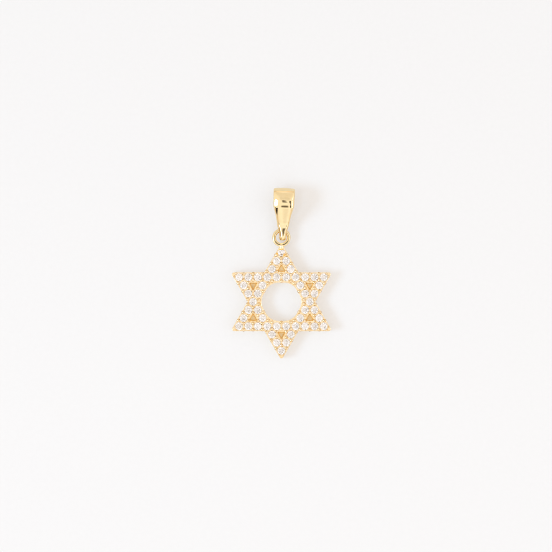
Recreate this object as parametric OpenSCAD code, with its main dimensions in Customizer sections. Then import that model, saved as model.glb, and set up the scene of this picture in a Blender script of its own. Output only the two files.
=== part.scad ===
// Star of David pendant: a star set with small stones, its soldered ring, and a folded bail in the ring.
// The pendant lies on its back, with its front up (+Z) and its bail towards +Y. Millimetres.
// The origin is on the ground under the middle of the whole pendant.

/* [Stones] */
// Diameter of each round stone at its girdle
stone_d = 1; // [0.8:0.01:1.05]
// Width of the flat table on top of a stone, from corner to corner
table_w = 0.56; // [0.4:0.01:0.7]
// Height of the crown, from the girdle to the table
crown_h = 0.16; // [0.1:0.01:0.22]
// Height of the thin girdle band
girdle_h = 0.03; // [0.02:0.01:0.06]
// Depth of the pavilion, from the girdle to the point
pavilion_h = 0.43; // [0.35:0.01:0.48]
// How far the top of the girdle lies below the face of the plate
girdle_drop = 0.09; // [0:0.01:0.12]

/* [Star plate] */
// Distance between the centres of neighbouring stones
pitch = 1.2; // [1.17:0.01:1.5]
// Thickness of the plate
plate_t = 1.15; // [1.1:0.05:2]
// Metal outside the stones along the outer edge
rim_w = 0.12; // [0.08:0.01:0.3]
// Metal beside the stones around the six-sided opening
opening_rim_w = 0.19; // [0.1:0.01:0.3]
// Rounding of the six tips
tip_r = 0.27; // [0.1:0.01:0.4]
// Rounding of the corners of the opening
opening_corner_r = 1.8; // [0.2:0.05:2.2]
// Clearance between a stone and its seat
seat_gap = 0.03; // [0.02:0.01:0.05]
// Diameter of the light hole behind each stone
light_hole_d = 0.62; // [0.3:0.01:0.8]

/* [Pockets] */
// Length of one side of the three-cornered pocket in each point
pocket_side = 1.1; // [0.6:0.02:1.2]
// Depth of the pockets below the face of the plate
pocket_depth = 0.45; // [0.2:0.05:0.8]

/* [Beads] */
// Diameter of the beads that hold the stones
bead_d = 0.3; // [0.2:0.01:0.32]
// How far the beads stand above the face of the plate
bead_rise = 0.13; // [0.06:0.01:0.15]
// Metal between an outer bead and the edge of the plate, and between a bead and its seats
bead_margin = 0.03; // [0.01:0.01:0.05]
// Diameter of the paired beads at the end of each tip
tip_bead_d = 0.24; // [0.16:0.01:0.26]
// Distance between the centres of the paired beads at a tip
tip_bead_apart = 0.34; // [0.3:0.01:0.36]

/* [Ring] */
// Outer diameter of the ring that is soldered to the top tip
ring_d = 2.34; // [2.1:0.02:3]
// Diameter of the ring's wire
ring_wire = 0.48; // [0.36:0.02:0.56]
// How far the ring is sunk into the tip
ring_sink = 0.22; // [0.14:0.02:0.3]

/* [Bail] */
// Length of the bail from its lower end to the top of its fold
bail_len = 6.75; // [5.5:0.05:9]
// Depth of the fold, from the back leaf to the front leaf
bail_depth = 3; // [2.2:0.1:4]
// Thickness of the folded strip
bail_wall = 0.34; // [0.28:0.02:0.4]
// Width of the strip over the fold
bail_top_w = 2.74; // [2:0.02:3.6]
// Width of the bevel along the left side of the strip at the fold
bevel_w = 0.64; // [0.2:0.02:0.8]
// Width of the bevel along the right side of the strip at the fold
right_bevel_w = 0.44; // [0.2:0.02:0.8]
// How steep the bevels are, in degrees
bevel_angle = 27; // [10:1:35]
// Least thickness of the strip at its edges
bail_edge = 0.18; // [0.1:0.01:0.24]
// Rounding of the corners at the top of the fold
bail_corner_r = 0.3; // [0.1:0.05:0.5]
// How far the bail leans to the right, in degrees
bail_lean = 2.2; // [0:0.1:4]
// How far the lower end of the bail lies to the right of the ring's middle
bail_shift = 0.12; // [0:0.01:0.16]
// Clearance between the ring's wire and the leaf behind it
leaf_gap = 0.12; // [0.08:0.01:0.2]
// Clearance between the ring's wire and the tongue in front of it
tongue_gap = 0.1; // [0.06:0.01:0.2]
// Clearance at the side of the bail's lower end, inside the ring
side_gap = 0.13; // [0.1:0.01:0.25]
// Room between the lower end of the bail and the bottom of the ring's hole
end_gap = 0.26; // [0.15:0.01:0.35]

/* [Hidden] */
metal_colour = [0.93, 0.75, 0.42];
stone_colour = [0.93, 0.94, 0.97];

// Steps of the stone grid along one side of each of the six points, and the height of one row
point_steps = 3;
row_h = pitch * sqrt(3) / 2;
// Distance from the star's middle to the lines of stones around the opening, and to the stone in each tip
bar_y = point_steps * row_h;
tip_y = 2 * bar_y;
// Distance from a line of stones to the outer edge of the plate, and to the edge of the opening
edge_w = stone_d / 2 + rim_w;
opening_edge_w = stone_d / 2 + opening_rim_w;
// Centre of a tip's rounding, and where the tip ends
round_y = tip_y + 2 * edge_w - 2 * tip_r;
end_y = round_y + tip_r;
// How far a cutter reaches past the face that it opens
past = 0.2;

seat_r = stone_d / 2 + seat_gap;
girdle_z = plate_t - girdle_drop;
bead_r = bead_d / 2;
tip_bead_r = tip_bead_d / 2;

ring_hole_r = ring_d / 2 - ring_wire;
ring_y = end_y - ring_sink + ring_d / 2;
ring_z = bail_wall + leaf_gap + ring_wire / 2;

// The side view of the bail is a loop: a turn around the ring's wire, the front leaf with its level tongue,
// its panel, its small shoulder and its crest, the fold, and the flat leaf behind.
fold_r = bail_depth / 2;
turn_r = (ring_z + ring_wire / 2 + tongue_gap + bail_wall) / 2;
fold_y = bail_len - fold_r;
turn_y = turn_r;
fold_steps = 10;
turn_steps = 14;
leaf_steps = 12;
bail_y = ring_y - ring_hole_r + end_gap;
bail_end_w = 2 * (ring_hole_r - bail_shift - side_gap);
bail_end_r = 0.45 * bail_end_w;

// Front leaf: share of the bail's length from its lower end, share of the rise from the tongue to the crest
bail_front = [
    [0.270, 0.000],
    [0.300, 0.030],
    [0.335, 0.120],
    [0.630, 0.965],
    [0.670, 0.965],
    [0.710, 0.992],
    [0.745, 1.000]
];
// As shares of the length: the largest step along the front leaf, and how far to both sides its slope is
// looked up
front_step = 0.05;
slope_step = 0.002;
crest_y = bail_len * bail_front[len(bail_front) - 1][0];

// Outline of the strip: share of the bail's length from its lower end, share of its widening up to the fold
bail_outline = [
    [0.06, 0.00],
    [0.12, 0.07],
    [0.18, 0.19],
    [0.29, 0.33],
    [0.47, 0.58],
    [0.64, 0.92],
    [0.77, 0.96],
    [1.00, 1.00]
];
// Bevels: share of the bail's length from its lower end, share of their full width
bail_bevel = [
    [0.00, 0.10],
    [0.28, 0.14],
    [0.47, 0.39],
    [0.58, 0.77],
    [0.72, 1.00],
    [0.82, 0.90],
    [0.91, 0.40],
    [1.00, 0.06]
];

$fn = 48;

// A point turned about the middle of the star
function turned(p, a) = [p.x * cos(a) - p.y * sin(a), p.x * sin(a) + p.y * cos(a)];
// A pattern for the top point of the star, repeated for all six
function six_times(pattern) = [for (k = [0 : 5], p = pattern) turned(p, 60 * k)];

// Stones: five in each point, which leave its middle free, and three on each side of the opening
point_stones = [
    for (row = [0 : point_steps - 1], side = (row == 0 ? [0] : [-1, 1]))
        [side * row * pitch / 2, tip_y - row * row_h]
];
bar_stones = [for (i = [0 : point_steps - 1]) [(i - point_steps / 2) * pitch, bar_y]];
stone_places = six_times(concat(point_stones, bar_stones));

// Beads: one inside each small triangle of the stone grid, and one between neighbours along each edge
grid_beads = [
    for (row = [1 : point_steps], i = [0 : row - 1], third = (row < point_steps ? [-1, 1] : [-1]))
        [(i - (row - 1) / 2) * pitch, tip_y - (row + third / 3) * row_h]
];
outer_bead_w = edge_w - bead_r - bead_margin;
outer_beads = [
    for (row = [0 : point_steps - 1], side = [-1, 1])
        [
            side * ((row + 0.5) * pitch / 2 + outer_bead_w * cos(30)),
            tip_y - (row + 0.5) * row_h + outer_bead_w * sin(30)
        ]
];
opening_beads = [
    for (i = [0 : point_steps - 1])
        [(i + 0.5 - point_steps / 2) * pitch, bar_y - opening_edge_w + bead_r + bead_margin]
];
bead_places = six_times(concat(grid_beads, outer_beads, opening_beads));

tip_bead_reach = seat_r + tip_bead_r + bead_margin;
tip_bead_y = tip_y + sqrt(pow(tip_bead_reach, 2) - pow(tip_bead_apart / 2, 2));
tip_bead_places = six_times([for (side = [-1, 1]) [side * tip_bead_apart / 2, tip_bead_y]]);

// Outer side of the bail's loop: [distance from its lower end, height, direction that it faces]
function on_circle(y, r, a) = [y + r * cos(a), r + r * sin(a), a];
function on_arc(y, r, from, to, steps) =
    [for (i = [0 : steps]) on_circle(y, r, from + (to - from) * i / steps)];
function on_leaf(from, to) = [for (i = [1 : leaf_steps - 1]) from + (to - from) * i / leaf_steps];
function on_ellipse(a) = [
    crest_y + (bail_len - crest_y) * cos(a),
    fold_r + fold_r * sin(a),
    atan2(sin(a) / fold_r, cos(a) / (bail_len - crest_y))
];
function on_front(share) =
    [bail_len * share, 2 * turn_r + (bail_depth - 2 * turn_r) * lookup(share, bail_front)];
function front_facing(share) =
    let (p = on_front(share - slope_step), q = on_front(share + slope_step))
    90 + atan2(q[1] - p[1], q[0] - p[0]);

upper_fold = [for (i = [0 : fold_steps]) on_ellipse(90 - 90 * i / fold_steps)];
lower_fold = on_arc(fold_y, fold_r, -90 / fold_steps, -90, fold_steps - 1);
back_leaf = on_leaf(on_circle(fold_y, fold_r, -90), on_circle(turn_y, turn_r, -90));
turn_arc = on_arc(turn_y, turn_r, 270, 90, turn_steps);
front_knots = concat([turn_y / bail_len], [for (row = bail_front) row[0]]);
front_shares = [
    for (i = [0 : len(front_knots) - 2])
        let (span = front_knots[i + 1] - front_knots[i], steps = ceil(span / front_step))
        for (k = [0 : steps - 1]) front_knots[i] + span * k / steps
];
front_leaf = [
    for (i = [1 : len(front_shares) - 1])
        concat(on_front(front_shares[i]), front_facing(front_shares[i]))
];
bail_loop = concat(upper_fold, lower_fold, back_leaf, turn_arc, front_leaf);

// Half the width of the strip at a distance y from its lower end, with a round end and round top corners
function rounding(d, r) = d >= r ? 0 : r - sqrt(r * r - pow(r - max(d, 0), 2));
function outline_w(y) = (bail_end_w + (bail_top_w - bail_end_w) * lookup(y / bail_len, bail_outline)) / 2;
function half_w(y) = outline_w(y) - rounding(y, bail_end_r) - rounding(bail_len - y, bail_corner_r);

// One corner of the strip's section at station s of the loop: how far below the outer side it lies,
// and the width of the bevel that it leaves out
function corner(s, side, depth, inset) =
    let (y = s[0] - depth * cos(s[2]), z = s[1] - depth * sin(s[2]))
    [side * max(half_w(y) - inset, 0), y, z];
function section(s) =
    let (
        share = lookup(s[0] / bail_len, bail_bevel),
        left = min(bevel_w * share, half_w(s[0])),
        right = min(right_bevel_w * share, half_w(s[0])),
        left_h = left * tan(bevel_angle),
        right_h = right * tan(bevel_angle)
    )
    [
        corner(s, -1, bail_wall, left),
        corner(s, -1, max(bail_wall, left_h + bail_edge), 0),
        corner(s, -1, left_h, 0),
        corner(s, -1, 0, left),
        corner(s, 1, 0, right),
        corner(s, 1, right_h, 0),
        corner(s, 1, max(bail_wall, right_h + bail_edge), 0),
        corner(s, 1, bail_wall, right)
    ];
section_corners = len(section(bail_loop[0]));

// A point of the bail, leaning and hung in the ring
function hung(p) =
    let (q = turned([p.x, p.y], -bail_lean))
    [q.x + bail_shift, q.y + bail_y, p.z];
bail_points = [for (s = bail_loop, p = section(s)) hung(p)];

// Distance from the middle of the star to the middle of the whole pendant
middle_y = (max([for (p = bail_points) p.y]) - end_y) / 2;

// The star with its rounded tips
module star_outline() {
    tip_corner = [tip_r * cos(30), round_y + tip_r * sin(30)];
    waist = [0, (bar_y + edge_w) / cos(30)];
    polygon([
        for (k = [0 : 5]) each [
            turned(tip_corner, 60 * k),
            turned([-tip_corner.x, tip_corner.y], 60 * k),
            turned(waist, 60 * k + 30)
        ]
    ]);
    for (k = [0 : 5]) rotate(60 * k) translate([0, round_y]) circle(tip_r);
}

// The six-sided opening with its rounded corners
module opening_outline() {
    side_y = bar_y - opening_edge_w;
    inner_y = side_y - opening_corner_r;
    side_end = [inner_y * tan(30), side_y];
    polygon([
        for (k = [0 : 5]) each [
            turned(side_end, 60 * k),
            turned([-side_end.x, side_end.y], 60 * k)
        ]
    ]);
    for (k = [0 : 5]) rotate(60 * k + 30) translate([0, inner_y / cos(30)]) circle(opening_corner_r);
}

// Room for one stone: a wall beside its girdle, a cone below it, and the light hole down to the back
module seat() {
    hole_r = light_hole_d / 2;
    wall_z = girdle_z - girdle_h - seat_gap;
    cone_h = (seat_r - hole_r) * pavilion_h / (stone_d / 2);
    translate([0, 0, wall_z]) cylinder(h = plate_t - wall_z + past, r = seat_r);
    translate([0, 0, wall_z - cone_h]) cylinder(h = cone_h, r1 = hole_r, r2 = seat_r);
    translate([0, 0, -past]) cylinder(h = wall_z + past, r = hole_r);
}

// The three-cornered pocket in the middle of the top point
module pocket() {
    translate([0, tip_y - 2 * row_h, plate_t - pocket_depth])
        rotate(90)
            cylinder(h = pocket_depth + past, r = pocket_side / sqrt(3), $fn = 3);
}

module bead(r) {
    translate([0, 0, plate_t + bead_rise - r]) sphere(r);
}

module ring() {
    translate([0, ring_y, ring_z])
        rotate_extrude()
            translate([(ring_d - ring_wire) / 2, 0])
                circle(d = ring_wire);
}

// The plate, its beads and the soldered ring are one piece of metal
module star_frame() {
    color(metal_colour) translate([0, -middle_y, 0]) {
        difference() {
            linear_extrude(plate_t) difference() {
                star_outline();
                opening_outline();
            }
            for (p = stone_places) translate(p) seat();
            for (k = [0 : 5]) rotate(60 * k) pocket();
        }
        for (p = bead_places) translate(p) bead(bead_r);
        for (p = tip_bead_places) translate(p) bead(tip_bead_r);
        ring();
    }
}

// A round brilliant with the top of its girdle at z = 0. The kites of the crown and the pavilion are flat.
module brilliant() {
    r = stone_d / 2;
    table_r = table_w / 2;
    flat = cos(22.5);
    star_r = (r + table_r * flat) / 2;
    star_z = crown_h * (r - star_r * flat) / (r - table_r);
    lower_r = 0.24 * r;
    lower_z = -girdle_h - pavilion_h * (r - lower_r * flat) / r;
    function circle_of(count, radius, z, first) = [
        for (i = [0 : count - 1])
            let (a = 360 * i / count + first)
            [radius * cos(a), radius * sin(a), z]
    ];
    points = concat(
        circle_of(8, table_r, crown_h, 0),
        circle_of(8, star_r, star_z, 22.5),
        circle_of(16, r, 0, 0),
        circle_of(16, r, -girdle_h, 0),
        circle_of(8, lower_r, lower_z, 22.5),
        [[0, 0, -girdle_h - pavilion_h]]
    );
    // Where each circle of points begins
    star = 8;
    top = 16;
    bottom = 32;
    lower = 48;
    tip = 56;
    faces = concat(
        [[for (i = [7 : -1 : 0]) i]],
        [
            for (i = [0 : 7])
                let (
                    next = (i + 1) % 8,
                    before = (i + 7) % 8,
                    main = 2 * i,
                    half = 2 * i + 1,
                    main_next = 2 * next
                )
                each [
                    [i, next, star + i],
                    [i, star + i, top + main, star + before],
                    [star + i, top + half, top + main],
                    [star + i, top + main_next, top + half],
                    [top + main, top + half, bottom + half, bottom + main],
                    [top + half, top + main_next, bottom + main_next, bottom + half],
                    [bottom + main, bottom + half, lower + i],
                    [bottom + half, bottom + main_next, lower + i],
                    [bottom + main, lower + i, tip, lower + before]
                ]
        ]
    );
    polyhedron(points, faces);
}

// Every stone is turned a little further than the one before it
module stones() {
    stone_turn = 17;
    color(stone_colour) translate([0, -middle_y, girdle_z])
        for (i = [0 : len(stone_places) - 1])
            translate(stone_places[i]) rotate(i * stone_turn) brilliant();
}

module bail() {
    stations = len(bail_loop);
    faces = [
        for (i = [0 : stations - 1], j = [0 : section_corners - 1])
            let (
                here = i * section_corners,
                there = (i + 1) % stations * section_corners,
                next = (j + 1) % section_corners
            )
            each [
                [here + j, here + next, there + next],
                [here + j, there + next, there + j]
            ]
    ];
    color(metal_colour) translate([0, -middle_y, 0]) polyhedron(bail_points, faces);
}

star_frame();
stones();
bail();
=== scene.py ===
"""Looks of the star pendant on its CAD frame: bead-set stones, a soldered ring and a folded bail."""
import math
import random

import bmesh
import bpy
from mathutils import Matrix, Vector
from mathutils.geometry import tessellate_polygon


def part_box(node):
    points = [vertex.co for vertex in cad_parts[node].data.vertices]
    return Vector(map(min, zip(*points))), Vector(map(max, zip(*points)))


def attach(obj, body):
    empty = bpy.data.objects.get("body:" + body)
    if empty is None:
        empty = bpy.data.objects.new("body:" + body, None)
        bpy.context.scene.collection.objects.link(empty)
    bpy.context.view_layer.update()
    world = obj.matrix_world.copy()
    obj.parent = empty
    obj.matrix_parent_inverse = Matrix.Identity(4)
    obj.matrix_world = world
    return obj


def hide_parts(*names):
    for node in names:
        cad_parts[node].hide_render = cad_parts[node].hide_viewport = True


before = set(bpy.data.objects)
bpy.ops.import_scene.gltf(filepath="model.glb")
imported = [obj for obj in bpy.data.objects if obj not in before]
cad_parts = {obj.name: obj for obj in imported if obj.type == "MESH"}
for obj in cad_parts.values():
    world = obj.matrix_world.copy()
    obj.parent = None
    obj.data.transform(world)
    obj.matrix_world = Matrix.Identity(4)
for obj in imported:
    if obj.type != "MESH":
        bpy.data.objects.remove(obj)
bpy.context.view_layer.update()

# Lengths are in millimetres, in the star's own coordinates: the origin is on the ground under its middle.
MM = 0.001

# Stones
STONE_D = 1.0
TABLE_W = 0.56
CROWN_H = 0.16
GIRDLE_H = 0.03
PAVILION_H = 0.43
# How far out the pavilion's main facets are widest, as a share of the radius
LOWER_HALVES_SHARE = 0.24
# How much the stones tilt and differ in height, and how much more the one in the top tip tilts
STONE_TILT = 3.5
TIP_STONE_TILT = 9.0
STONE_HEIGHTS = (-0.01, 0.005)
STONE_SEED = 31

# Star plate
PITCH = 1.2
POINT_STEPS = 3
PLATE_T = 1.15
RIM_W = 0.12
OPENING_RIM_W = 0.19
TIP_R = 0.27
WAIST_R = 0.12
OPENING_CORNER_R = 1.8
BACK_EDGE_R = 0.08
BORDER_W = 0.08
RECESS_DEPTH = 0.035
SEAT_GAP = 0.004
LIP_W = 0.01
SEAT_WALL_H = 0.03
SEAT_ABOVE = 0.006
LIP_FLARE = 0.012
LIGHT_HOLE_D = 0.62
HOLE_FLARE_W = 0.06
HOLE_FLARE_H = 0.07
GIRDLE_DROP = 0.09
# How far the cutters reach past the plate
CUT_PAST = 0.2
# Height from which on the holes get the seats' satin gold, with its painted shade
SATIN_FROM_Z = 0.05
TIP_STEPS = 14
WAIST_STEPS = 6
OPENING_STEPS = 12
BACK_EDGE_STEPS = 4
BORDER_STEPS = 12
SEAT_SIDES = 48

# Pockets
POCKET_SIDE = 1.1
POCKET_DEPTH = 0.45
POCKET_DRAFT = 0.09
POCKET_MOUTH = 0.04
POCKET_CORNER_R = 0.05
POCKET_CORNER_STEPS = 8

# Beads
BEAD_D = 0.44
BEAD_TOP = 0.13
TIP_BEAD_D = 0.3
TIP_BEAD_APART = 0.46
TIP_BEAD_UP = 0.53
OUTER_BEAD_W = 0.43
OPENING_BEAD_W = 0.49
BEAD_SIDES = 18
# Neck of a bead: share of its radius, height over the recessed floor
BEAD_NECK = [(1.05, -0.2), (1.03, 0.006)]
# Height of a bead's dome as a share of its radius, and the angles of its rows
DOME_H = 0.8
DOME_ANGLES = (0, 20, 38, 54, 68, 80)
# How much the beads differ in size, height, roundness and lean
BEAD_SIZES = (0.95, 1.05)
BEAD_HEIGHTS = (-0.02, 0.01)
BEAD_STRETCH = 0.06
BEAD_LEAN = 0.12
BEAD_SEED = 7

# Ring
RING_D = 2.34
RING_WIRE = 0.48
RING_SINK = 0.22
RING_AROUND = 128
RING_SECTION = 40
# Power of the rounded square that is the wire's section, and what is added to it where the wire is worn
RING_POWER = 2.1
RING_WORN_POWER = 1.3
# Where the wear begins and where it is full, as shares of the way from the ring's middle to the star
RING_WORN = (0.2, 0.75)

# Bail
BAIL_LEN = 6.75
BAIL_DEPTH = 3.0
BAIL_WALL = 0.34
BAIL_TOP_W = 2.74
BEVEL_W = 0.84
RIGHT_BEVEL_W = 0.62
BEVEL_ANGLE = 27
BEVEL_BOW = 0.3
RIGHT_BEVEL_BOW = 0.6
CREASE_R = 0.09
BAIL_CORNER_R = 0.3
BAIL_EDGE_R = 0.08
TONGUE_EDGE_R = 0.03
BAIL_LEAST_EDGE = 0.18
TONGUE_LEAST_EDGE = 0.02
TONGUE_BEVEL_ANGLE = 44
TONGUE_CREASE_R = 0.04
BAIL_LEAN = 2.03
BAIL_SHIFT = 0.14
LEAF_GAP = 0.12
TONGUE_GAP = 0.1
SIDE_GAP = 0.13
END_GAP = 0.26
# Shares of the bail's length over which the tongue goes over into the rest
TONGUE_SHARES = (0.24, 0.38)
# Rounding of the strip's inner edges: share of its half width, distance from the inner face
INNER_ROUNDING = [(1.0, 0.04), (0.985, 0.012), (0.95, 0.0)]
# Shares of the half width over which the inner face bends down to its edge
INNER_BEND = (0.4, 1.0)
# Steps along the bail's loop, and half of those across it
CREST_STEPS = 48
FOLD_STEPS = 32
BACK_STEPS = 40
TURN_STEPS = 48
FRONT_STEPS = 240
FRONT_SMOOTHING = 12
OUTER_STEPS = 42
INNER_STEPS = 8

# Derived sizes
ROW_H = PITCH * math.sqrt(3) / 2
BAR_Y = POINT_STEPS * ROW_H
STONE_TIP_Y = 2 * BAR_Y
POCKET_Y = STONE_TIP_Y - 2 * ROW_H
EDGE_W = STONE_D / 2 + RIM_W
OPENING_EDGE_W = STONE_D / 2 + OPENING_RIM_W
ROUND_Y = STONE_TIP_Y + 2 * EDGE_W - 2 * TIP_R
END_Y = ROUND_Y + TIP_R
FLOOR_Z = PLATE_T - RECESS_DEPTH
GIRDLE_Z = PLATE_T - GIRDLE_DROP
SEAT_R = STONE_D / 2 + SEAT_GAP
LIP_R = STONE_D / 2 - LIP_W
RING_HOLE_R = RING_D / 2 - RING_WIRE
RING_Y = END_Y - RING_SINK + RING_D / 2
RING_Z = BAIL_WALL + LEAF_GAP + RING_WIRE / 2
FOLD_R = BAIL_DEPTH / 2
FOLD_Y = BAIL_LEN - FOLD_R
TURN_R = (RING_Z + RING_WIRE / 2 + TONGUE_GAP + BAIL_WALL) / 2
BAIL_Y = RING_Y - RING_HOLE_R + END_GAP
BAIL_END_W = 2 * (RING_HOLE_R - BAIL_SHIFT - SIDE_GAP)
BAIL_END_R = 0.45 * BAIL_END_W

# Outline of the bail's strip: share of its length from the lower end, share of its widening up to the fold
BAIL_OUTLINE = [
    (0.06, 0.00),
    (0.12, 0.02),
    (0.18, 0.10),
    (0.29, 0.33),
    (0.47, 0.58),
    (0.64, 0.92),
    (0.77, 0.96),
    (1.00, 1.00),
]

# Outer side of the front leaf: share of the bail's length, share of the rise from the tongue to the crest
BAIL_FRONT = [
    (0.235, 0.000),
    (0.300, 0.030),
    (0.335, 0.120),
    (0.615, 0.965),
    (0.661, 0.965),
    (0.710, 0.992),
    (0.745, 1.000),
]

# Width of the bevels: share of the bail's length, share of the bevel's full width
BAIL_BEVEL = [
    (0.00, 0.34),
    (0.28, 0.34),
    (0.47, 0.37),
    (0.58, 0.66),
    (0.72, 1.00),
    (0.82, 0.90),
    (0.91, 0.40),
    (1.00, 0.06),
]

# Crown across the strip: share of the bail's length, curvature, and how far its middle lies to the right
BAIL_CROWN = [
    (0.00, 2.20),
    (0.05, 1.20),
    (0.11, 0.31),
    (0.28, 0.23),
    (0.40, 0.20),
    (0.64, 0.10),
    (0.74, 0.14),
    (0.85, 0.22),
    (1.00, 0.12),
]
CROWN_SHIFT = [
    (0.05, 0.02),
    (0.12, 0.08),
    (0.20, 0.20),
    (0.30, 0.19),
    (0.45, 0.10),
    (0.64, 0.16),
    (0.74, -0.07),
]
# Steepest slope of the crown beside its middle
CROWN_SLOPE = 0.22

# Where the star's middle lies in the frame
star_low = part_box("star_frame")[0]
MIDDLE = Vector((0, star_low.y / MM + END_Y, 0))


# Small helpers

def cosd(degrees):
    return math.cos(math.radians(degrees))


def sind(degrees):
    return math.sin(math.radians(degrees))


def turned(x, y, degrees):
    """A point turned about the middle of the star."""
    return x * cosd(degrees) - y * sind(degrees), x * sind(degrees) + y * cosd(degrees)


def six_times(pattern):
    """A pattern for the top point of the star, repeated for all six."""
    return [turned(x, y, 60 * k) for k in range(6) for x, y in pattern]


def arc(centre, radius, start, end, steps):
    return [
        (
            centre[0] + radius * cosd(start + (end - start) * i / steps),
            centre[1] + radius * sind(start + (end - start) * i / steps),
        )
        for i in range(steps + 1)
    ]


def smooth_step(low, high, x):
    t = min(max((x - low) / (high - low), 0.0), 1.0)
    return t * t * (3 - 2 * t)


def smooth_lookup(table, x):
    """Value at x of a smooth curve through the rows (x, value) of a table."""
    if x <= table[0][0]:
        return table[0][1]
    if x >= table[-1][0]:
        return table[-1][1]
    i = max(k for k in range(len(table) - 1) if table[k][0] <= x)

    def slope(k):
        if k == 0 or k == len(table) - 1:
            return 0.0
        return (table[k + 1][1] - table[k - 1][1]) / (table[k + 1][0] - table[k - 1][0])

    (x0, y0), (x1, y1) = table[i], table[i + 1]
    span = x1 - x0
    t = (x - x0) / span
    return (
        y0 * (1 + 2 * t) * (1 - t) ** 2
        + slope(i) * span * t * (1 - t) ** 2
        + y1 * t * t * (3 - 2 * t)
        + slope(i + 1) * span * t * t * (t - 1)
    )


def new_object(name, vertices, faces):
    """A mesh object in millimetres, with its faces turned outwards."""
    mesh = bpy.data.meshes.new(name)
    mesh.from_pydata([tuple(v) for v in vertices], [], faces)
    solid = bmesh.new()
    solid.from_mesh(mesh)
    bmesh.ops.recalc_face_normals(solid, faces=solid.faces)
    solid.to_mesh(mesh)
    solid.free()
    piece = bpy.data.objects.new(name, mesh)
    bpy.context.scene.collection.objects.link(piece)
    return piece


def apply_modifiers(piece):
    graph = bpy.context.evaluated_depsgraph_get()
    mesh = bpy.data.meshes.new_from_object(piece.evaluated_get(graph))
    piece.modifiers.clear()
    piece.data = mesh


def cut(piece, cutter):
    """Takes the cutter's volume out of a piece."""
    boolean = piece.modifiers.new("cut", "BOOLEAN")
    boolean.operation = "DIFFERENCE"
    boolean.solver = "MANIFOLD"
    boolean.object = cutter
    apply_modifiers(piece)
    bpy.data.objects.remove(cutter)


def smooth_by_angle(piece, degrees):
    piece.data.shade_smooth()
    piece.data.set_sharp_from_angle(angle=math.radians(degrees))


def finish_piece(piece, materials, node):
    """Puts a finished piece in the frame, in metres, in the place of a CAD node."""
    piece.data.transform(Matrix.Translation(MIDDLE))
    piece.data.transform(Matrix.Scale(MM, 4))
    piece.data.materials.clear()
    for material in materials:
        piece.data.materials.append(material)
    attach(piece, "root")
    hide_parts(node)


def strip_faces(rows, count, closed_rows=False):
    """Quads between neighbouring closed loops of points that follow each other in one list."""
    faces = []
    for r in range(rows if closed_rows else rows - 1):
        here = r * count
        there = (r + 1) % rows * count
        for i in range(count):
            j = (i + 1) % count
            faces.append((here + i, here + j, there + j, there + i))
    return faces


def lids(rows, count):
    """The flat faces on the first and on the last of several closed loops."""
    last = (rows - 1) * count
    return [tuple(reversed(range(count))), tuple(last + i for i in range(count))]


def joined(parts):
    """One list of vertices and one of faces from several (vertices, faces)."""
    vertices, faces = [], []
    for part_vertices, part_faces in parts:
        first = len(vertices)
        vertices += part_vertices
        faces += [tuple(first + i for i in face) for face in part_faces]
    return vertices, faces


def lathe(profile, sides, centre=(0, 0)):
    """A closed solid turned about a vertical line, from rows (radius, height) that begin at the bottom."""
    vertices = [
        (centre[0] + r * cosd(360 * i / sides), centre[1] + r * sind(360 * i / sides), z)
        for r, z in profile
        for i in range(sides)
    ]
    return vertices, strip_faces(len(profile), sides) + lids(len(profile), sides)


# Places of the stones and beads

POINT_STONES = [
    (side * row * PITCH / 2, STONE_TIP_Y - row * ROW_H)
    for row in range(POINT_STEPS)
    for side in ([0] if row == 0 else [-1, 1])
]
BAR_STONES = [((i - POINT_STEPS / 2) * PITCH, BAR_Y) for i in range(POINT_STEPS)]
STONE_PLACES = six_times(POINT_STONES + BAR_STONES)

GRID_BEADS = [
    ((i - (row - 1) / 2) * PITCH, STONE_TIP_Y - (row + third / 3) * ROW_H)
    for row in range(1, POINT_STEPS + 1)
    for i in range(row)
    for third in ([-1, 1] if row < POINT_STEPS else [-1])
]
OUTER_BEADS = [
    (
        side * ((row + 0.5) * PITCH / 2 + OUTER_BEAD_W * cosd(30)),
        STONE_TIP_Y - (row + 0.5) * ROW_H + OUTER_BEAD_W * sind(30),
    )
    for row in range(POINT_STEPS)
    for side in (-1, 1)
]
OPENING_BEADS = [
    ((i + 0.5 - POINT_STEPS / 2) * PITCH, BAR_Y - OPENING_BEAD_W) for i in range(POINT_STEPS)
]
BEAD_PLACES = six_times(GRID_BEADS + OUTER_BEADS + OPENING_BEADS)
TIP_BEAD_Y = STONE_TIP_Y + TIP_BEAD_UP
TIP_BEAD_PLACES = six_times([(side * TIP_BEAD_APART / 2, TIP_BEAD_Y) for side in (-1, 1)])


# Star plate

def star_loop(inset):
    """The star's outline, moved into the metal by the inset, anticlockwise from the right of the top tip."""
    points = []
    waist_y = (BAR_Y + EDGE_W + WAIST_R) / cosd(30)
    for k in range(6):
        tip = arc((0, ROUND_Y), TIP_R - inset, 30, 150, TIP_STEPS)
        waist = arc(turned(0, waist_y, 30), WAIST_R + inset, 330, 270, WAIST_STEPS)
        points += [turned(x, y, 60 * k) for x, y in tip + waist]
    return points


def opening_loop(inset):
    """The opening's outline, moved into the metal by the inset."""
    points = []
    corner_y = (BAR_Y - OPENING_EDGE_W - OPENING_CORNER_R) / cosd(30)
    for k in range(6):
        corner = arc(turned(0, corner_y, 30), OPENING_CORNER_R + inset, 90, 150, OPENING_STEPS)
        points += [turned(x, y, 60 * k) for x, y in corner]
    return points


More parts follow.
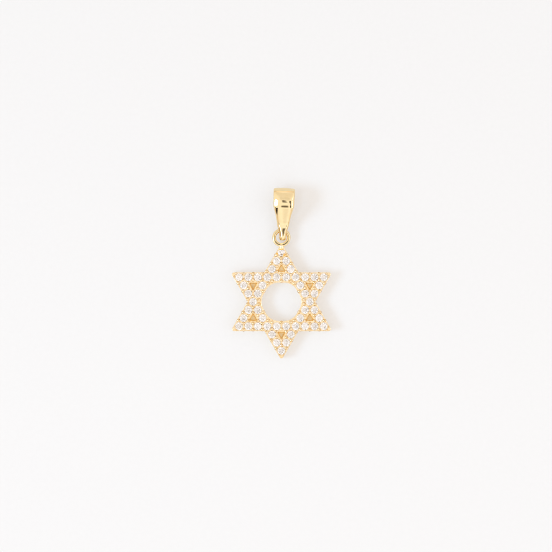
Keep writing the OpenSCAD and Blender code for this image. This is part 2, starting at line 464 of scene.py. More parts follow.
def plate_rows():
    """Rows (inset, z) of the plate's edge, from the back over the half-round border to the recessed floor."""
    back = [
        (BACK_EDGE_R * (1 - sind(a)), BACK_EDGE_R * (1 - cosd(a)))
        for a in [90 * i / BACK_EDGE_STEPS for i in range(BACK_EDGE_STEPS + 1)]
    ]
    border = [
        (BORDER_W / 2 * (1 - cosd(a)), FLOOR_Z + RECESS_DEPTH * sind(a))
        for a in [180 * i / BORDER_STEPS for i in range(BORDER_STEPS + 1)]
    ]
    return back + border


def edge_wall(loop):
    """Vertices and faces of one edge of the plate, and how many points one loop has."""
    rows = plate_rows()
    count = len(loop(0))
    vertices = [(x, y, z) for inset, z in rows for x, y in loop(inset)]
    return vertices, strip_faces(len(rows), count), count


def ring_cap(outer, inner, outer_first, inner_first):
    """Triangles between an outer and an inner loop, as indices into the whole mesh."""
    polygons = [[Vector(p) for p in outer], [Vector(p) for p in inner]]
    names = [outer_first + i for i in range(len(outer))] + [inner_first + i for i in range(len(inner))]
    return [tuple(names[i] for i in face) for face in tessellate_polygon(polygons)]


def plate_body():
    outer, outer_faces, outer_count = edge_wall(star_loop)
    inner, inner_faces, inner_count = edge_wall(opening_loop)
    vertices, faces = joined([(outer, outer_faces), (inner, inner_faces)])
    inner_start = len(outer)
    for row in (0, len(plate_rows()) - 1):
        outer_first = row * outer_count
        inner_first = inner_start + row * inner_count
        faces += ring_cap(
            vertices[outer_first:outer_first + outer_count],
            vertices[inner_first:inner_first + inner_count],
            outer_first,
            inner_first,
        )
    return new_object("star_plate", vertices, faces)


def seat_cutter():
    """Seats for all stones: a lip over the crown's edge, the girdle's wall, a cone and a light hole."""
    hole_r = LIGHT_HOLE_D / 2
    wall_z = GIRDLE_Z - GIRDLE_H - SEAT_WALL_H
    cone_h = (SEAT_R - hole_r) * PAVILION_H / (STONE_D / 2)
    slope = CROWN_H / (STONE_D / 2 - TABLE_W / 2)
    profile = [
        (hole_r + HOLE_FLARE_W, -CUT_PAST),
        (hole_r + HOLE_FLARE_W, 0.0),
        (hole_r, HOLE_FLARE_H),
        (hole_r, wall_z - cone_h),
        (SEAT_R, wall_z),
        (SEAT_R, GIRDLE_Z + SEAT_ABOVE),
        (LIP_R, GIRDLE_Z + SEAT_ABOVE + slope * LIP_W),
        (LIP_R + LIP_FLARE, FLOOR_Z),
        (LIP_R + LIP_FLARE, PLATE_T + CUT_PAST),
    ]
    seats = [lathe(profile, SEAT_SIDES, place) for place in STONE_PLACES]
    return new_object("seat_cutter", *joined(seats))


def pocket_outline(grow):
    """A triangle with rounded corners whose sides stand grow further out than the floor's."""
    inradius = POCKET_SIDE / (2 * math.sqrt(3)) + grow
    corner = (inradius - POCKET_CORNER_R) / cosd(60)
    points = []
    for k in range(3):
        angle = 90 + 120 * k
        centre = (corner * cosd(angle), corner * sind(angle))
        points += arc(centre, POCKET_CORNER_R, angle - 60, angle + 60, POCKET_CORNER_STEPS)
    return points


def pocket_cutter():
    """The three-cornered pockets, with sloping walls and a chamfered mouth."""
    rows = [
        (-POCKET_DRAFT, PLATE_T - POCKET_DEPTH),
        (-POCKET_MOUTH, FLOOR_Z - 2 * POCKET_MOUTH),
        (POCKET_MOUTH, FLOOR_Z),
        (POCKET_MOUTH, PLATE_T + CUT_PAST),
    ]
    count = len(pocket_outline(0))
    parts = []
    for k in range(6):
        vertices = []
        for grow, z in rows:
            for x, y in pocket_outline(grow):
                vertices.append((*turned(x, y + POCKET_Y, 60 * k), z))
        parts.append((vertices, strip_faces(len(rows), count) + lids(len(rows), count)))
    return new_object("pocket_cutter", *joined(parts))


# Distance within which a face counts as lying on a level, and the least rise of a face that looks up
NEAR = 0.001
UPWARD = 0.9


def in_pocket(x, y):
    places = six_times([(0, POCKET_Y)])
    return min(math.hypot(x - px, y - py) for px, py in places) < POCKET_SIDE / math.sqrt(3)


def in_seat(x, y):
    return min(math.hypot(x - px, y - py) for px, py in STONE_PLACES) < SEAT_R + NEAR


def plate_material(face):
    """0 on the edges and the back, with a painted highlight; 1 and 2 on the pockets' floors and walls, and 3
    around and in the seats, with painted shade.
    """
    x, y, z = face.center
    if PLATE_T - POCKET_DEPTH - NEAR < z < FLOOR_Z - NEAR and in_pocket(x, y):
        return 1 if face.normal.z > UPWARD else 2
    floor = abs(z - FLOOR_Z) < NEAR and face.normal.z > UPWARD
    seat = SATIN_FROM_Z < z < FLOOR_Z + NEAR and in_seat(x, y)
    return 3 if floor or seat else 0


def make_plate(materials):
    plate = plate_body()
    cut(plate, seat_cutter())
    cut(plate, pocket_cutter())
    indices = [plate_material(face) for face in plate.data.polygons]
    smooth_by_angle(plate, 35)
    finish_piece(plate, materials, "star_frame")
    plate.data.polygons.foreach_set("material_index", indices)
    weighted = plate.modifiers.new("weighted_normals", "WEIGHTED_NORMAL")
    weighted.keep_sharp = True


# Beads

def bead(place, diameter, top_z, draw):
    """One pushed-up bead: a dome on a short neck, a little uneven as if raised by hand."""
    r = diameter / 2
    stretch = 1 + draw.uniform(-BEAD_STRETCH, BEAD_STRETCH)
    lean = (draw.uniform(-BEAD_LEAN, BEAD_LEAN), draw.uniform(-BEAD_LEAN, BEAD_LEAN))

    def leaning(x, y, z):
        rise = max(z - FLOOR_Z, 0)
        return place[0] + x + lean[0] * rise, place[1] + y + lean[1] * rise, z

    rows = [(share * r, FLOOR_Z + z) for share, z in BEAD_NECK]
    dome_z = top_z - DOME_H * r
    rows += [(r * cosd(a), dome_z + DOME_H * r * sind(a)) for a in DOME_ANGLES]
    vertices = [
        leaning(row_r * stretch * cosd(a), row_r / stretch * sind(a), z)
        for row_r, z in rows
        for a in [360 * i / BEAD_SIDES for i in range(BEAD_SIDES)]
    ]
    bottom, last_row = lids(len(rows), BEAD_SIDES)
    faces = strip_faces(len(rows), BEAD_SIDES) + [bottom]
    faces += [(a, b, len(vertices)) for a, b in zip(last_row, last_row[1:] + last_row[:1])]
    vertices.append(leaning(0, 0, top_z))
    return vertices, faces


def make_beads(polished):
    """All beads. The top tip has none of its own, because solder takes their place."""
    draw = random.Random(BEAD_SEED)
    top_z = PLATE_T + BEAD_TOP
    parts = [
        bead(place, BEAD_D * draw.uniform(*BEAD_SIZES), top_z + draw.uniform(*BEAD_HEIGHTS), draw)
        for place in BEAD_PLACES
    ]
    parts += [bead(place, TIP_BEAD_D, top_z + BEAD_HEIGHTS[0], draw) for place in TIP_BEAD_PLACES[2:]]
    beads = new_object("beads", *joined(parts))
    smooth_by_angle(beads, 60)
    finish_piece(beads, [polished], "star_frame")


# Ring and its solder joint

def make_ring(polished):
    """A ring of wire, worn flat on top near the solder joint."""
    mid_r = (RING_D - RING_WIRE) / 2
    wire_r = RING_WIRE / 2
    vertices = []
    for i in range(RING_AROUND):
        a = 360 * i / RING_AROUND
        power = 2 / (RING_POWER + RING_WORN_POWER * smooth_step(*RING_WORN, -sind(a)))
        for j in range(RING_SECTION):
            b = 360 * j / RING_SECTION
            r = mid_r + wire_r * math.copysign(abs(cosd(b)) ** power, cosd(b))
            z = RING_Z + wire_r * math.copysign(abs(sind(b)) ** power, sind(b))
            vertices.append((r * cosd(a), RING_Y + r * sind(a), z))
    faces = strip_faces(RING_AROUND, RING_SECTION, closed_rows=True)
    ring = new_object("soldered_ring", vertices, faces)
    ring.data.shade_smooth()
    finish_piece(ring, [polished], "star_frame")


def drop(centre, radii):
    """A closed ellipsoid, the raw shape of a drop of solder."""
    angles = [-90 + 180 * (i + 0.5) / DROP_ROWS for i in range(DROP_ROWS)]
    vertices, faces = lathe([(cosd(a), sind(a)) for a in angles], DROP_SIDES)
    placed = [tuple(c + r * v for c, r, v in zip(centre, radii, p)) for p in vertices]
    return placed, faces


# Drops of solder between the ring and the top tip and beside the stone there: centre, radii
SOLDER = [
    ((0.00, 7.06, 0.84), (0.30, 0.26, 0.42)),
    ((0.00, 6.86, 1.02), (0.29, 0.24, 0.22)),
    ((-0.14, 6.67, 1.13), (0.19, 0.11, 0.10)),
    ((0.08, 6.67, 1.13), (0.19, 0.11, 0.10)),
    ((0.36, 6.02, 1.16), (0.12, 0.16, 0.10)),
    ((0.30, 5.88, 1.15), (0.12, 0.12, 0.12)),
    ((-0.55, 6.04, 1.12), (0.17, 0.19, 0.14)),
]
# Above this height in the star the solder is pale, a painted highlight
SOLDER_HIGHLIGHT_Y = 6.76
DROP_ROWS = 16
DROP_SIDES = 24
SOLDER_VOXEL = 0.016
SOLDER_SMOOTHING = 14


def make_solder(pale, deep):
    """The drops of solder, with those that touch melted together."""
    solder = new_object("solder_joint", *joined([drop(centre, radii) for centre, radii in SOLDER]))
    remesh = solder.modifiers.new("melt", "REMESH")
    remesh.mode = "VOXEL"
    remesh.voxel_size = SOLDER_VOXEL
    smooth = solder.modifiers.new("flow", "SMOOTH")
    smooth.factor = 0.5
    smooth.iterations = SOLDER_SMOOTHING
    apply_modifiers(solder)
    solder.data.shade_smooth()
    # The upper solder gets the painted highlight; the rest is solder's deeper yellow with painted shade
    indices = [0 if face.center.y > SOLDER_HIGHLIGHT_Y else 1 for face in solder.data.polygons]
    finish_piece(solder, [pale, deep], "star_frame")
    solder.data.polygons.foreach_set("material_index", indices)


# Stones

def circle_of(count, radius, z, first):
    return [
        (radius * cosd(360 * i / count + first), radius * sind(360 * i / count + first), z)
        for i in range(count)
    ]


def brilliant():
    """A round brilliant of 57 facets and a girdle, with the top of its girdle at z = 0."""
    r = STONE_D / 2
    table_r = TABLE_W / 2
    flat = cosd(22.5)
    star_r = (r + table_r * flat) / 2
    star_z = CROWN_H * (r - star_r * flat) / (r - table_r)
    lower_r = LOWER_HALVES_SHARE * r
    lower_z = -GIRDLE_H - PAVILION_H * (r - lower_r * flat) / r
    vertices = (
        circle_of(8, table_r, CROWN_H, 0)
        + circle_of(8, star_r, star_z, 22.5)
        + circle_of(16, r, 0, 0)
        + circle_of(16, r, -GIRDLE_H, 0)
        + circle_of(8, lower_r, lower_z, 22.5)
        + [(0, 0, -GIRDLE_H - PAVILION_H)]
    )
    star, top, bottom, lower, tip = 8, 16, 32, 48, 56
    faces = [tuple(range(8))]
    for i in range(8):
        following = (i + 1) % 8
        before = (i + 7) % 8
        main = 2 * i
        half = 2 * i + 1
        main_next = 2 * following
        faces += [
            (i, star + i, following),
            (i, star + before, top + main, star + i),
            (star + i, top + main, top + half),
            (star + i, top + half, top + main_next),
            (top + main, bottom + main, bottom + half, top + half),
            (top + half, bottom + half, bottom + main_next, top + main_next),
            (bottom + main, lower + i, bottom + half),
            (bottom + half, lower + i, bottom + main_next),
            (bottom + main, lower + before, tip, lower + i),
        ]
    return vertices, faces


def make_stones(material):
    """All stones, each a little turned and tilted in its seat."""
    draw = random.Random(STONE_SEED)
    vertices, faces = brilliant()
    parts = []
    for x, y in STONE_PLACES:
        own_tilt = TIP_STONE_TILT if (x, y) == STONE_PLACES[0] else 0
        pose = (
            Matrix.Translation((x, y, GIRDLE_Z + draw.uniform(*STONE_HEIGHTS)))
            @ Matrix.Rotation(math.radians(own_tilt + draw.uniform(-STONE_TILT, STONE_TILT)), 4, "X")
            @ Matrix.Rotation(math.radians(draw.uniform(-STONE_TILT, STONE_TILT)), 4, "Y")
            @ Matrix.Rotation(math.radians(draw.uniform(0, 45)), 4, "Z")
        )
        parts.append(([tuple(pose @ Vector(v)) for v in vertices], faces))
    stones = new_object("brilliants", *joined(parts))
    finish_piece(stones, [material], "stones")


# Bail

def rounding(distance, radius):
    """How far a rounded edge lies back at a distance from its end."""
    if distance >= radius:
        return 0.0
    return radius - math.sqrt(radius ** 2 - (radius - max(distance, 0.0)) ** 2)


def half_w(y):
    """Half the width of the strip at a distance y from its lower end, with a round end and top corners."""
    share = smooth_lookup(BAIL_OUTLINE, y / BAIL_LEN)
    outline = (BAIL_END_W + (BAIL_TOP_W - BAIL_END_W) * share) / 2
    return outline - rounding(y, BAIL_END_R) - rounding(BAIL_LEN - y, BAIL_CORNER_R)


def line_lookup(table, x):
    """Value at x on the straight lines through the rows (x, value) of a table."""
    if x <= table[0][0]:
        return table[0][1]
    for (x0, y0), (x1, y1) in zip(table, table[1:]):
        if x <= x1:
            return y0 + (y1 - y0) * (x - x0) / (x1 - x0)
    return table[-1][1]


def front_line(count):
    """Places and heights along the outer side of the front leaf, from the turn to the crest."""
    crest = BAIL_FRONT[-1][0] * BAIL_LEN
    rise = BAIL_DEPTH - 2 * TURN_R
    places = [TURN_R + (crest - TURN_R) * i / count for i in range(count + 1)]
    heights = [2 * TURN_R + rise * line_lookup(BAIL_FRONT, y / BAIL_LEN) for y in places]
    for _ in range(FRONT_SMOOTHING):
        middle = [(a + 2 * b + c) / 4 for a, b, c in zip(heights, heights[1:], heights[2:])]
        heights = heights[:1] + middle + heights[-1:]
    return places, heights


def bail_loop():
    """Outer side of the bail's loop: rows (distance from the lower end, height, direction that it faces)."""
    crest = BAIL_FRONT[-1][0] * BAIL_LEN
    upper = []
    for i in range(CREST_STEPS + 1):
        a = 90 - 90 * i / CREST_STEPS
        facing = math.degrees(math.atan2(sind(a) / FOLD_R, cosd(a) / (BAIL_LEN - crest)))
        upper.append((crest + (BAIL_LEN - crest) * cosd(a), FOLD_R + FOLD_R * sind(a), facing))
    lower = [
        (FOLD_Y + FOLD_R * cosd(a), FOLD_R + FOLD_R * sind(a), a)
        for a in [-90 * i / FOLD_STEPS for i in range(1, FOLD_STEPS + 1)]
    ]
    back = [(FOLD_Y + (TURN_R - FOLD_Y) * i / BACK_STEPS, 0.0, -90) for i in range(1, BACK_STEPS)]
    turn = [
        (TURN_R + TURN_R * cosd(a), TURN_R + TURN_R * sind(a), a)
        for a in [270 - 180 * i / TURN_STEPS for i in range(TURN_STEPS)]
    ]
    places, heights = front_line(FRONT_STEPS)
    front = []
    for i in range(FRONT_STEPS):
        before = max(i - 1, 0)
        slope = (heights[i + 1] - heights[before]) / (places[i + 1] - places[before])
        front.append((places[i], heights[i], 90 + math.degrees(math.atan(slope))))
    return upper + lower + back + turn + front


def above_tongue(y, tongue_value, value):
    """Goes from the tongue's value to the value of the rest of the strip."""
    return tongue_value + (value - tongue_value) * smooth_step(*TONGUE_SHARES, y / BAIL_LEN)


def outer_depth(x, y, w):
    """How far the outer face of the strip lies below the loop, at x from its middle line and y along it."""
    share = y / BAIL_LEN
    full_w, bow = (BEVEL_W, BEVEL_BOW) if x < 0 else (RIGHT_BEVEL_W, RIGHT_BEVEL_BOW)
    bevel_w = min(full_w * smooth_lookup(BAIL_BEVEL, share), w)
    bow = above_tongue(y, 0, bow)
    crease_r = above_tongue(y, TONGUE_CREASE_R, CREASE_R)
    angle = above_tongue(y, TONGUE_BEVEL_ANGLE, BEVEL_ANGLE)
    over = crease_r * math.log1p(math.exp((abs(x) - w + bevel_w) / crease_r))
    along = over / max(bevel_w, crease_r)
    bent = along if x < 0 else along ** 2
    bevel = over * (1 - bow + bow * bent) * math.tan(math.radians(angle))
    off_middle = (abs(x) - over) * math.copysign(1, x) - smooth_lookup(CROWN_SHIFT, share)
    soft = CROWN_SLOPE / smooth_lookup(BAIL_CROWN, share)
    crown = CROWN_SLOPE * (math.hypot(off_middle, soft) - soft)
    return crown + bevel


def bail_section(s_y, s_z, s_a):
    """Points of the strip's section at one station of the loop, once round, not yet hung in the ring."""
    def placed(x_share, depth):
        y = s_y - depth * cosd(s_a)
        return x_share * half_w(y), y, s_z - depth * sind(s_a)

    w = half_w(s_y)
    edge = max(outer_depth(w, s_y, w), outer_depth(-w, s_y, w))
    inner_edge = max(BAIL_WALL, edge + above_tongue(s_y, TONGUE_LEAST_EDGE, BAIL_LEAST_EDGE))
    edge_r = above_tongue(s_y, TONGUE_EDGE_R, BAIL_EDGE_R)
    outer = []
    for i in range(-OUTER_STEPS, OUTER_STEPS + 1):
        share = i / OUTER_STEPS
        depth = outer_depth(share * w, s_y, w) + rounding((1 - abs(share)) * w, edge_r)
        outer.append(placed(share, depth))
    right = [placed(share, inner_edge - back) for share, back in INNER_ROUNDING]
    left = [placed(-share, inner_edge - back) for share, back in reversed(INNER_ROUNDING)]
    inner = []
    for i in range(INNER_STEPS - 1, -INNER_STEPS, -1):
        share = i / INNER_STEPS
        bend = smooth_step(*INNER_BEND, abs(share))
        inner.append(placed(share, BAIL_WALL + (inner_edge - BAIL_WALL) * bend))
    return outer + right + inner + left


def hung(x, y, z):
    """A point of the bail, leaning and hung in the ring."""
    qx, qy = turned(x, y, -BAIL_LEAN)
    return qx + BAIL_SHIFT, qy + BAIL_Y, z


def make_bail(polished):
    sections = [bail_section(*station) for station in bail_loop()]
    vertices = [hung(*point) for section in sections for point in section]
    faces = strip_faces(len(sections), len(sections[0]), closed_rows=True)
    bail = new_object("folded_bail", vertices, faces)
    smooth_by_angle(bail, 40)
    finish_piece(bail, [polished], "bail")


# Materials

# Golds: scale of the patches, light and deep colour, roughness of smooth and worn spots, height of the grain
GOLDS = {
    "polished_gold": (1400, (0.91, 0.745, 0.445), (0.89, 0.71, 0.40), 0.03, 0.08, 0.0000012),
    # Edge gold is paler than the alloy: a painted highlight on the plate's edges and border
    "edge_gold_painted_light": (2500, (1.0, 0.88, 0.67), (0.97, 0.78, 0.50), 0.12, 0.25, 0.0000015),
    # Bead gold: light and deep patches at random, a painted highlight and painted shade on the beads
    "bead_gold_painted_light_and_shade": (3500, (0.94, 0.80, 0.58), (0.74, 0.50, 0.22), 0.08, 0.18, 0.0000015),
    # Satin, pocket and wall gold are deeper than the alloy: painted shade between the stones and in the
    # pockets
    "satin_gold_painted_shade": (3500, (1.0, 0.89, 0.66), (0.98, 0.72, 0.38), 0.42, 0.60, 0.000005),
    "pocket_gold_painted_shade": (3500, (0.94, 0.74, 0.45), (0.84, 0.60, 0.29), 0.36, 0.55, 0.000006),
    "pocket_wall_painted_shade": (3500, (0.94, 0.71, 0.33), (0.90, 0.62, 0.22), 0.30, 0.45, 0.000004),
    # Pale solder is a painted highlight; deep solder is solder's own deeper yellow with painted shade
    "solder_painted_highlight": (2500, (1.0, 0.90, 0.68), (0.98, 0.86, 0.60), 0.25, 0.36, 0.000002),
    "deep_solder_and_painted_shade": (2500, (1.0, 0.66, 0.22), (0.98, 0.58, 0.14), 0.28, 0.44, 0.000002),
}
WEAR_SCALE = 5200
GRAIN_SCALE = 9000
SCRATCH_SCALE = 42000
SCRATCH_STRETCH = (1.0, 0.07, 1.0)
SCRATCH_TURN = (0.2, 0.3, 0.35)
SCRATCH_DEPTH = 0.0000004

STONE_COLOURS = ((0.955, 0.92, 0.89), (0.94, 0.905, 0.875))
STONE_PATCH_SCALE = 900
STONE_POLISH_SCALE = 7000
STONE_IOR = 2.15
STONE_ROUGHNESS = (0.0, 0.03)

PAPER_GREYS = ((0.355, 0.355, 0.355), (0.367, 0.367, 0.367))
PAPER_FIBRE_SCALE = 1800
# Painted glow of the paper, which lightens its shadows and makes them warm: its colour and level
PAPER_PAINTED_GLOW = (1.0, 0.933, 0.873, 1.0)
PAPER_PAINTED_GLOW_LEVEL = 0.502
# Painted shade: the paper's brightness near the bottom and top of the picture, and those places in metres
PAPER_PAINTED_FALLOFF = (1.015, 0.965)
PAPER_PAINTED_FALLOFF_Y = (-0.02, 0.035)


def new_material(name):
    material = bpy.data.materials.new(name)
    material.use_nodes = True
    nodes = material.node_tree.nodes
    return material, nodes, material.node_tree.links, nodes["Principled BSDF"]


def noise(nodes, links, vector, scale, detail=3.0, roughness=0.5):
    texture = nodes.new("ShaderNodeTexNoise")
    texture.inputs["Scale"].default_value = scale
    texture.inputs["Detail"].default_value = detail
    texture.inputs["Roughness"].default_value = roughness
    links.new(vector, texture.inputs["Vector"])
    return texture.outputs["Fac"]


def ranged(nodes, links, value, low, high, from_low=0.3, from_high=0.7):
    """The value brought from one range to another."""
    node = nodes.new("ShaderNodeMapRange")
    node.inputs["From Min"].default_value = from_low
    node.inputs["From Max"].default_value = from_high
    node.inputs["To Min"].default_value = low
    node.inputs["To Max"].default_value = high
    links.new(value, node.inputs["Value"])
    return node.outputs["Result"]


def mixed(nodes, links, factor, first, second):
    """A mix of two colours. The factor is a socket."""
    node = nodes.new("ShaderNodeMix")
    node.data_type = "RGBA"
    node.inputs["A"].default_value = (*first, 1)
    node.inputs["B"].default_value = (*second, 1)
    links.new(factor, node.inputs["Factor"])
    return node.outputs["Result"]


def bump(nodes, links, height, distance, after=None):
    node = nodes.new("ShaderNodeBump")
    node.inputs["Strength"].default_value = 1.0
    node.inputs["Distance"].default_value = distance
    links.new(height, node.inputs["Height"])
    if after is not None:
        links.new(after, node.inputs["Normal"])
    return node.outputs["Normal"]


def gold(name):
    """Cast gold: patches of slightly deeper colour, uneven polish, fine scratches and a faint grain."""
    patch_scale, light, deep, smooth_at, rough_at, grain_height = GOLDS[name]
    material, nodes, links, shader = new_material(name)
    place = nodes.new("ShaderNodeTexCoord").outputs["Object"]
    patches = noise(nodes, links, place, patch_scale, 4.0)
    colour = mixed(nodes, links, ranged(nodes, links, patches, 0, 1), light, deep)
    links.new(colour, shader.inputs["Base Color"])
    shader.inputs["Metallic"].default_value = 1.0
    wear = noise(nodes, links, place, WEAR_SCALE, 5.0, 0.6)
    links.new(ranged(nodes, links, wear, smooth_at, rough_at), shader.inputs["Roughness"])
    stretch = nodes.new("ShaderNodeMapping")
    stretch.inputs["Scale"].default_value = SCRATCH_STRETCH
    stretch.inputs["Rotation"].default_value = SCRATCH_TURN
    links.new(place, stretch.inputs["Vector"])
    scratches = noise(nodes, links, stretch.outputs["Vector"], SCRATCH_SCALE, 2.0)
    grain = noise(nodes, links, place, GRAIN_SCALE, 3.0)
    scratched = bump(nodes, links, scratches, SCRATCH_DEPTH)
    links.new(bump(nodes, links, grain, grain_height, after=scratched), shader.inputs["Normal"])
    return material


def clear_stone():
    """Clear cut stone, with the faintest warm and cool patches and polish marks."""
    material, nodes, links, shader = new_material("clear_stone")
    place = nodes.new("ShaderNodeTexCoord").outputs["Object"]
    tint = noise(nodes, links, place, STONE_PATCH_SCALE, 2.0)
    colour = mixed(nodes, links, ranged(nodes, links, tint, 0, 1), *STONE_COLOURS)
    links.new(colour, shader.inputs["Base Color"])
    shader.inputs["Transmission Weight"].default_value = 1.0
    shader.inputs["IOR"].default_value = STONE_IOR
    polish = noise(nodes, links, place, STONE_POLISH_SCALE, 3.0)
    links.new(ranged(nodes, links, polish, *STONE_ROUGHNESS), shader.inputs["Roughness"])
    return material


def paper():
    """Pale paper with faint fibres and a painted glow that warms its shadows, less white towards the top of
    the picture as painted shade.
    """
    material, nodes, links, shader = new_material("paper")
    place = nodes.new("ShaderNodeTexCoord").outputs["Object"]
    fibres = noise(nodes, links, place, PAPER_FIBRE_SCALE, 6.0, 0.65)
    colour = mixed(nodes, links, ranged(nodes, links, fibres, 0, 1), *PAPER_GREYS)
    # Painted shade that makes the paper less white towards the top of the picture
    split = nodes.new("ShaderNodeSeparateXYZ")
    links.new(place, split.inputs["Vector"])
    painted_falloff = ranged(nodes, links, split.outputs["Y"], *PAPER_PAINTED_FALLOFF, *PAPER_PAINTED_FALLOFF_Y)
    shade = nodes.new("ShaderNodeVectorMath")
    shade.operation = "SCALE"
    links.new(colour, shade.inputs[0])
    links.new(painted_falloff, shade.inputs["Scale"])
    links.new(shade.outputs["Vector"], shader.inputs["Base Color"])
    shader.inputs["Roughness"].default_value = 0.9
    shader.inputs["Specular IOR Level"].default_value = 0.0
    # Painted glow, which lightens and warms the paper's shadows
    shader.inputs["Emission Color"].default_value = PAPER_PAINTED_GLOW
    shader.inputs["Emission Strength"].default_value = PAPER_PAINTED_GLOW_LEVEL
    return material


# Studio

# Half the paper's width, and how far it lies below the pendant, in metres
PAPER_HALF_W = 2.0
PAPER_DROP = 0.00001


def make_floor():
    corners = [(-1, -1), (1, -1), (1, 1), (-1, 1)]
    vertices = [(x * PAPER_HALF_W, y * PAPER_HALF_W, -PAPER_DROP) for x, y in corners]
    mesh = bpy.data.meshes.new("studio_floor")
    mesh.from_pydata(vertices, [], [(0, 1, 2, 3)])
    floor = bpy.data.objects.new("studio_floor", mesh)
    bpy.context.scene.collection.objects.link(floor)
    mesh.materials.append(paper())


def direction(azimuth, elevation):
    """Unit vector, with azimuth 0 along +X and 90 along +Y."""
    return Vector((
        cosd(elevation) * cosd(azimuth),
        cosd(elevation) * sind(azimuth),
        sind(elevation),
    ))


# Dark things that the polished metal sees: azimuth, elevation, half-angles of core and edge, brightness
DARK_PLACES = [
    (0, 90, 5.0, 8.5, 0.18),
    (328, 63, 5.5, 8.5, 0.11),
    (0, 67, 5.5, 8.5, 0.11),
    (188, 3, 4.0, 14.0, 0.70),
    (230, 12, 6.0, 10.0, 0.03),
    (90, 45, 18.0, 48.0, 0.88),
    (60, 69, 6.0, 14.0, 0.90),
    (120, 69, 6.0, 14.0, 0.90),
    (270.5, 20, 0.5, 7.0, 0.85),
]
# Bright cards on the right, seen as a white line in the bail's bevel, and a light wall beyond the bail
BRIGHT_PLACES = [
    (335, 42, 2.5, 7.0, 1.9),
    (355, 36, 2.5, 7.0, 1.9),
    (15, 30, 2.5, 7.0, 1.9),
    (90, 2, 6.0, 20.0, 1.4),
]
# What is dark is warmer and what is bright is cooler than the tent
PLACE_TINT = (1.0, 0.9, 0.76)
# Brightness of the white tent, its colours towards the top and bottom of the picture, and the factors by
# which these change on the left and right and low down
TENT_LEVEL = 1.125
TENT_UPPER = (0.97, 0.91, 0.85)
TENT_LOWER = (1.07, 1.05, 1.03)
TENT_LEFT = (0.98, 0.98, 0.98)
TENT_RIGHT = (1.02, 1.03, 1.06)
TENT_LOW = (0.72, 0.56, 0.42)
# How far out the tent's sides have their full colours, and up to which height it is warmer and darker
TENT_SIDE = 0.8
TENT_LOW_UP_TO = 0.33


def make_tent():
    """A white tent, warmer and darker low down, with the dark and bright places that the metal sees."""
    world = bpy.data.worlds.new("tent")
    bpy.context.scene.world = world
    world.use_nodes = True
    nodes = world.node_tree.nodes
    links = world.node_tree.links
    background = nodes["Background"]
    look = nodes.new("ShaderNodeTexCoord").outputs["Generated"]
    split = nodes.new("ShaderNodeSeparateXYZ")
    links.new(look, split.inputs["Vector"])

    def product(first, second):
        node = nodes.new("ShaderNodeVectorMath")
        node.operation = "MULTIPLY"
        links.new(first, node.inputs[0])
        links.new(second, node.inputs[1])
        return node.outputs["Vector"]

    def between(axis, low, high, first, second):
        share = ranged(nodes, links, split.outputs[axis], 0, 1, low, high)
        return mixed(nodes, links, share, first, second)

    along = between("Y", -TENT_SIDE, TENT_SIDE, TENT_LOWER, TENT_UPPER)
    across = between("X", -TENT_SIDE, TENT_SIDE, TENT_LEFT, TENT_RIGHT)
    colour = product(along, across)
    colour = product(colour, between("Z", 0.0, TENT_LOW_UP_TO, TENT_LOW, (1, 1, 1)))
    for azimuth, elevation, core, edge, level in DARK_PLACES + BRIGHT_PLACES:
        place = [level * part ** (1 - level) for part in PLACE_TINT]
        dot = nodes.new("ShaderNodeVectorMath")
        dot.operation = "DOT_PRODUCT"
        dot.inputs[1].default_value = direction(azimuth, elevation)
        links.new(look, dot.inputs[0])
        mask = ranged(nodes, links, dot.outputs["Value"], 0, 1, cosd(edge), cosd(core))
        colour = product(colour, mixed(nodes, links, mask, (1, 1, 1), place))
    links.new(colour, background.inputs["Color"])
    background.inputs["Strength"].default_value = TENT_LEVEL


# The key light's direction, half-angles, distance in metres and colour. It is two lamps in one place: the
# first is seen by everything, and the stronger second one lights only the paper.
KEY_AZIMUTH = 190
KEY_ELEVATION = 35
KEY_HALF_ANGLES = (15, 9)
KEY_DISTANCE = 2.0
KEY_COLOUR = (0.47, 0.72, 1.0)
KEY_STRENGTH = 2.0
PAPER_KEY_STRENGTH = 5.2


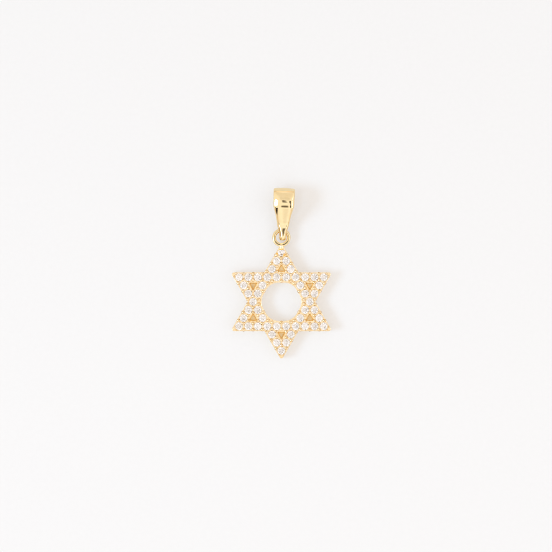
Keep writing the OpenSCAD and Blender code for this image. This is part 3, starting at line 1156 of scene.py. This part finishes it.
def make_key_light(name, strength, on_pendant):
    """One lamp of the soft wide light from the left, which gives the shadows to the right."""
    lamp = bpy.data.lights.new(name, "AREA")
    lamp.shape = "ELLIPSE"
    lamp.size, lamp.size_y = [2 * KEY_DISTANCE * math.tan(math.radians(a)) for a in KEY_HALF_ANGLES]
    lamp.energy = strength * KEY_DISTANCE ** 2
    lamp.color = KEY_COLOUR
    key = bpy.data.objects.new(name, lamp)
    key.location = direction(KEY_AZIMUTH, KEY_ELEVATION) * KEY_DISTANCE
    key.rotation_euler = key.location.to_track_quat("Z", "Y").to_euler()
    key.visible_glossy = on_pendant
    key.visible_transmission = on_pendant
    bpy.context.scene.collection.objects.link(key)


# The photograph shows 7.85 pixels for each millimetre, with the frame's origin at this pixel of 552
PHOTO_SIZE = 552
PHOTO_SCALE = 7.85
ORIGIN_PIXEL = (281.4, 273.0)
CAMERA_HEIGHT = 0.4


def make_camera():
    """The camera looks straight down, with the bail at the top of the picture."""
    data = bpy.data.cameras.new("camera")
    camera = bpy.data.objects.new("camera", data)
    bpy.context.scene.collection.objects.link(camera)
    middle = PHOTO_SIZE / 2
    camera.location = (
        (middle - ORIGIN_PIXEL[0]) / PHOTO_SCALE * MM,
        (ORIGIN_PIXEL[1] - middle) / PHOTO_SCALE * MM,
        CAMERA_HEIGHT,
    )
    data.sensor_width = 36
    data.lens = data.sensor_width * CAMERA_HEIGHT / (PHOTO_SIZE / PHOTO_SCALE * MM)
    data.clip_start = 0.01
    bpy.context.scene.camera = camera


def set_light_paths():
    """Enough bounces for light to find its way out of the stones, and plain display of the colours."""
    scene = bpy.context.scene
    scene.cycles.max_bounces = 24
    scene.cycles.glossy_bounces = 16
    scene.cycles.transmission_bounces = 16
    scene.cycles.filter_width = 1.0
    scene.view_settings.view_transform = "Standard"


# Build

make_camera()
make_floor()
make_tent()
make_key_light("key", KEY_STRENGTH, True)
make_key_light("paper_key", PAPER_KEY_STRENGTH, False)
set_light_paths()
make_plate([gold(name) for name in ("edge_gold_painted_light", "pocket_gold_painted_shade", "pocket_wall_painted_shade", "satin_gold_painted_shade")])
make_beads(gold("bead_gold_painted_light_and_shade"))
polished_gold = gold("polished_gold")
make_ring(polished_gold)
make_solder(gold("solder_painted_highlight"), gold("deep_solder_and_painted_shade"))
make_stones(clear_stone())
make_bail(polished_gold)
